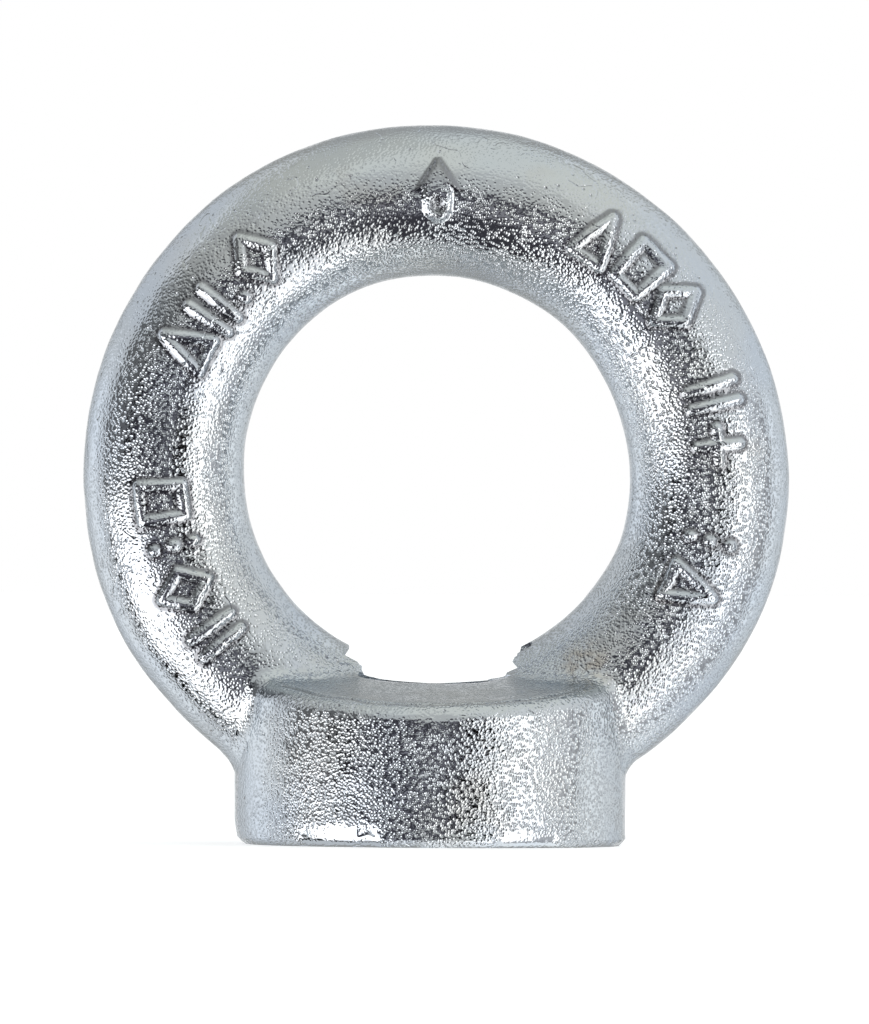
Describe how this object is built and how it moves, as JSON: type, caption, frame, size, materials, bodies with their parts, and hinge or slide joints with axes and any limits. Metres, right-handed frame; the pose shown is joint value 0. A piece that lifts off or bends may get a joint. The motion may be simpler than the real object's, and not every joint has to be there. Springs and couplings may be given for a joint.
{
  "type": "lifting eye nut",
  "caption": "Forged lifting eye nut: a round-section ring on a short round collar, with a threaded hole that runs through the collar and opens into the eye.",
  "frame": {"origin": "centre of the flat seat face, on the thread's axis", "axes": "+Z along the thread's axis, from the seat up through the eye; +Y along the eye's axis, with the marked face of the ring towards -Y; +X across the ring"},
  "size_m": [0.072, 0.04, 0.074],
  "materials": {
    "zinc_plated_steel": "bright zinc plating over a shot-blasted steel forging"
  },
  "bodies": {
    "root": {"lifting_eye_nut": "zinc_plated_steel"}
  },
  "joints": []
}
